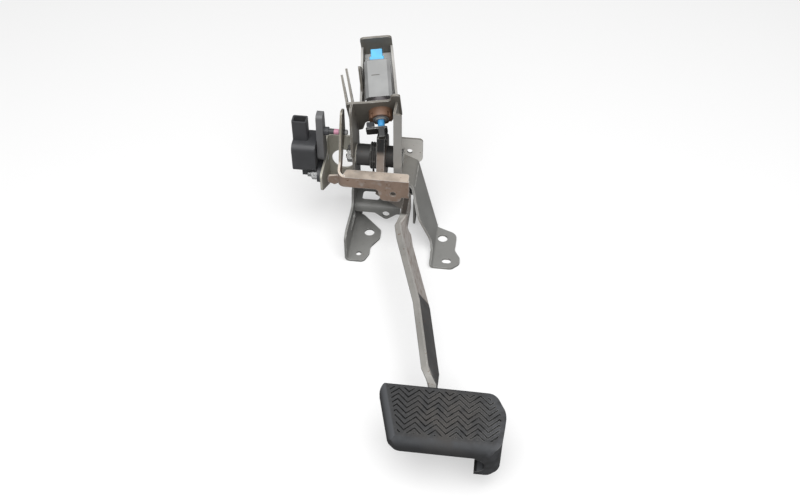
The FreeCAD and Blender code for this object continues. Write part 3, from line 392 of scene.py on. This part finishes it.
def pad_rubber():
    """Moulded rubber with rolled edges painted a bluish sheen, lighter where they face left, and a tread
    painted lighter than the sides (painted light), rubbed paler in patches on the tread, dusty in the middle,
    groove floors painted dark (painted shade) and rib edges painted with highlights and wear.
    """
    look = Look("pad_rubber", roughness=0.7)
    low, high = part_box("pedal_pad")
    width = high.x - low.x
    across = look.part_of(look.place, "X")
    height = look.part_of(look.place, "Z")
    middle = Vector((low.x + 0.55 * width, (low.y + high.y) / 2, high.z))
    patches = look.noise(MOTTLE / 2)
    upward = look.part_of(look.facing, "Z")
    on_top = look.rise(upward, 0.93, 0.995)
    on_roll = look.rise(upward, 0.30, 0.85)
    in_grooves = look.rise(height, high.z - 0.0004, high.z - 0.0012)
    tone = look.mix(look.rise(patches, 0.35, 0.7), RUBBER, shade(RUBBER, 1.2))
    # Rolled edges painted with a bluish sheen, lighter where they face left: painted light by facing.
    on_left = look.rise(look.part_of(look.facing, "X"), -0.05, -0.25)
    tone = look.mix(on_roll, tone, look.mix(on_left, RUBBER_EDGE, RUBBER_SIDE))
    # Tread faces painted lighter than the sides: painted light on the top; the rubbed patches below are wear.
    tone = look.mix(on_top, tone, shade(RUBBER, 1.3))
    rubbed = look.both(on_top, look.rise(look.noise(SPECKS), 0.40, 0.75, 0.0, 0.6))
    tone = look.mix(rubbed, tone, RUBBER_WORN)
    right_end = look.rise(across, high.x - 0.25 * width, high.x - 0.03 * width, 0.0, 0.7)
    tone = look.mix(look.both(right_end, look.rise(look.noise(MOTTLE), 0.35, 0.65)), tone, RUBBER_SIDE)
    dusty = look.both(look.near(middle, 0.08 * width, 0.42 * width), look.rise(patches, 0.35, 0.62, 0.0, 0.6))
    tone = look.mix(dusty, tone, DUST)
    # Groove floors painted darker: painted shade in the grooves.
    tone = look.mix(look.both(in_grooves, on_top), tone, shade(RUBBER, 0.25))
    # Rib edges painted lighter, more so towards the right: painted highlight together with wear.
    rib_edges = look.both(look.edges(), look.rise(look.noise(MOTTLE), 0.36, 0.58))
    tone = look.mix(look.both(rib_edges, look.rise(across, low.x, high.x, 0.2, 1.0)), tone, RIB_HIGHLIGHT_AND_WEAR)
    look.roughen(patches, 0.58, 0.82)
    look.emboss(look.noise(GRAIN), 0.00008)
    return look.finish(tone)


def grained(look, colour, roughness):
    """Tone of moulded plastic with a fine spark-eroded grain and rubbed edges."""
    patches = look.noise(MOTTLE / 2)
    tone = look.mix(look.rise(patches, 0.35, 0.7), shade(colour, 0.92), shade(colour, 1.1))
    tone = look.mix(look.both(look.edges(EDGE_WIDTH / 2), 0.5), tone, shade(colour, 1.6))
    tone = look.mix(look.rise(look.noise(SPECKS), 0.66, 0.8, 0.0, 0.4), tone, GRIME_AND_SHADE)
    look.roughen(patches, roughness - 0.06, roughness + 0.1)
    look.emboss(look.noise(GRAIN), 0.00005)
    return tone


def moulded(name, colour, roughness=0.45):
    look = Look(name, roughness)
    return look.finish(grained(look, colour, roughness))


def switch_case(roughness=0.45):
    """Grey plastic with a short dark line on the front painted as the shade of a slot, and a band under the
    case painted dark as its shade.
    """
    look = Look("switch_plastic", roughness)
    start = SWITCH_TIP.dot(SWITCH_ALONG)
    side = SWITCH_TIP.dot(SWITCH_ACROSS)
    blur = MARK_WIDTH / 4
    # Short dark line on the front face: painted shade standing in for a moulded slot.
    line = look.both(look.strip(SWITCH_ALONG, start + MARK_ALONG, MARK_WIDTH, blur),
                     look.strip(SWITCH_ACROSS, side + MARK_ACROSS, MARK_LENGTH, blur))
    tone = look.mix(look.both(line, look.turned(SWITCH_FRONT)), grained(look, GREY_PLASTIC, roughness), GRIME_AND_SHADE)
    # Band just below the case's start painted dark: painted shade under the case.
    collar = look.strip(SWITCH_ALONG, start + CASE_START - COLLAR_LENGTH / 2, COLLAR_LENGTH, blur)
    return look.finish(look.mix(collar, tone, COLLAR_SHADE))


def banded_pin():
    """Black pin with a pink paint band and a bright rubbed tip."""
    look = Look("pin_plastic", roughness=0.4)
    low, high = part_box("sensor_pin")
    length = high.x - low.x
    across = look.part_of(look.place, "X")
    tone = look.mix(look.rise(look.noise(MOTTLE), 0.35, 0.7), BLACK_PLASTIC, shade(BLACK_PLASTIC, 1.5))
    start = low.x + 0.55 * length
    end = low.x + 0.71 * length
    blur = 0.0004
    band = look.both(look.rise(across, start - blur, start + blur), look.rise(across, end + blur, end - blur))
    tone = look.mix(band, tone, BAND_PINK)
    tone = look.mix(look.rise(across, high.x - 0.10 * length, high.x - 0.06 * length), tone, PIN_TIP)
    look.emboss(look.noise(GRAIN), 0.00004)
    return look.finish(tone)


def dress():
    """Gives every node the look of its material slot, or its own one."""
    looks = {
        "bracket_steel": bracket_coat("bracket_coat"),
        "arm_steel": worn_arm(),
        "lever_steel": chromated_lever(),
        "zinc_steel": plated("zinc_plate", ZINC),
        "spring_steel": black_oxide(),
        "pad_rubber": pad_rubber(),
        "black_plastic": moulded("sensor_plastic", BLACK_PLASTIC),
        "pin_plastic": banded_pin(),
        "grey_plastic": switch_case(),
        "brown_plastic": moulded("adjuster_plastic", BROWN_PLASTIC),
        "blue_plastic": moulded("insert_plastic", INSERT_BLUE),
        "bush_plastic": moulded("bush_plastic", BUSH_CREAM),
        "terminal_brass": plated("terminal_brass", BRASS),
    }
    own_looks = {
        "sensor_studs": plated("stud_thread", STUD_ZINC, threaded=True),
        "sensor_nuts": plated("nut_zinc", STUD_ZINC),
        "cowl_bracket": bracket_coat("cowl_coat", painted_light_inside=True),
        "sensor_bracket": sensor_coat(),
        "sensor_lever": moulded("lever_plastic", LEVER_PLASTIC),
        "right_side_plate": bracket_coat("right_coat", painted_light_front=True),
        "switch_plunger": moulded("plunger_plastic", PLUNGER_BLUE),
    }
    for part in frame["record"]["subparts"]:
        node = frame["nodes"][part["node"]]
        node.data.materials.clear()
        node.data.materials.append(own_looks.get(part["node"], looks[part["material_slot"]]))


def floor():
    """Pale table that looks evenly white to the camera and throws back little light."""
    bpy.ops.mesh.primitive_plane_add(size=FLOOR_SIZE)
    table = bpy.context.object
    table.name = "table"
    material = bpy.data.materials.new("table_white")
    material.use_nodes = True
    tree = material.node_tree
    tree.nodes.remove(tree.nodes["Principled BSDF"])
    sides = []
    for colour in (FLOOR_BOUNCE, FLOOR_SEEN):
        side = tree.nodes.new("ShaderNodeBsdfDiffuse")
        side.inputs["Color"].default_value = (*colour, 1.0)
        sides.append(side)
    even = tree.nodes.new("ShaderNodeEmission")
    seen = tree.nodes.new("ShaderNodeMixShader")
    seen.inputs["Fac"].default_value = FLOOR_EVEN
    tree.links.new(sides[1].outputs["BSDF"], seen.inputs[1])
    tree.links.new(even.outputs["Emission"], seen.inputs[2])
    rays = tree.nodes.new("ShaderNodeLightPath")
    choice = tree.nodes.new("ShaderNodeMixShader")
    tree.links.new(rays.outputs["Is Camera Ray"], choice.inputs["Fac"])
    tree.links.new(sides[0].outputs["BSDF"], choice.inputs[1])
    tree.links.new(seen.outputs["Shader"], choice.inputs[2])
    tree.links.new(choice.outputs["Shader"], tree.nodes["Material Output"].inputs["Surface"])
    table.data.materials.append(material)


def studio():
    """One large soft light overhead, a weak even sky that looks white, and the camera."""
    scene = bpy.context.scene
    scene.view_settings.view_transform = "Standard"
    lamp = bpy.data.lights.new("softbox", "AREA")
    lamp.shape = "SQUARE"
    lamp.size = LIGHT_SIZE
    lamp.energy = LIGHT_WATTS
    softbox = bpy.data.objects.new("softbox", lamp)
    scene.collection.objects.link(softbox)
    softbox.location = LIGHT_PLACE
    target = (cad_low + cad_high) / 2
    softbox.rotation_euler = (target - LIGHT_PLACE).to_track_quat("-Z", "Y").to_euler()
    world = bpy.data.worlds.new("sky")
    world.use_nodes = True
    sky = world.node_tree.nodes["Background"]
    sky.inputs["Color"].default_value = (1.0, 1.0, 1.0, 1.0)
    rays = world.node_tree.nodes.new("ShaderNodeLightPath")
    strength = world.node_tree.nodes.new("ShaderNodeMapRange")
    strength.inputs["To Min"].default_value = SKY_STRENGTH
    strength.inputs["To Max"].default_value = SKY_SEEN
    world.node_tree.links.new(rays.outputs["Is Camera Ray"], strength.inputs["Value"])
    world.node_tree.links.new(strength.outputs["Result"], sky.inputs["Strength"])
    scene.world = world

    pitch = math.radians(CAMERA_PITCH)
    yaw = math.radians(CAMERA_YAW)
    ahead = Vector((-math.sin(yaw) * math.cos(pitch), math.cos(yaw) * math.cos(pitch), -math.sin(pitch)))
    right = Vector((math.cos(yaw), math.sin(yaw), 0.0))
    up = right.cross(ahead)
    lens = bpy.data.cameras.new("camera")
    lens.lens = LENS_MM
    lens.sensor_width = SENSOR_MM
    camera = bpy.data.objects.new("camera", lens)
    scene.collection.objects.link(camera)
    camera.matrix_world = Matrix.Translation(CAMERA_PLACE) @ Matrix((right, up, -ahead)).transposed().to_4x4()
    scene.camera = camera


dress()
floor()
studio()
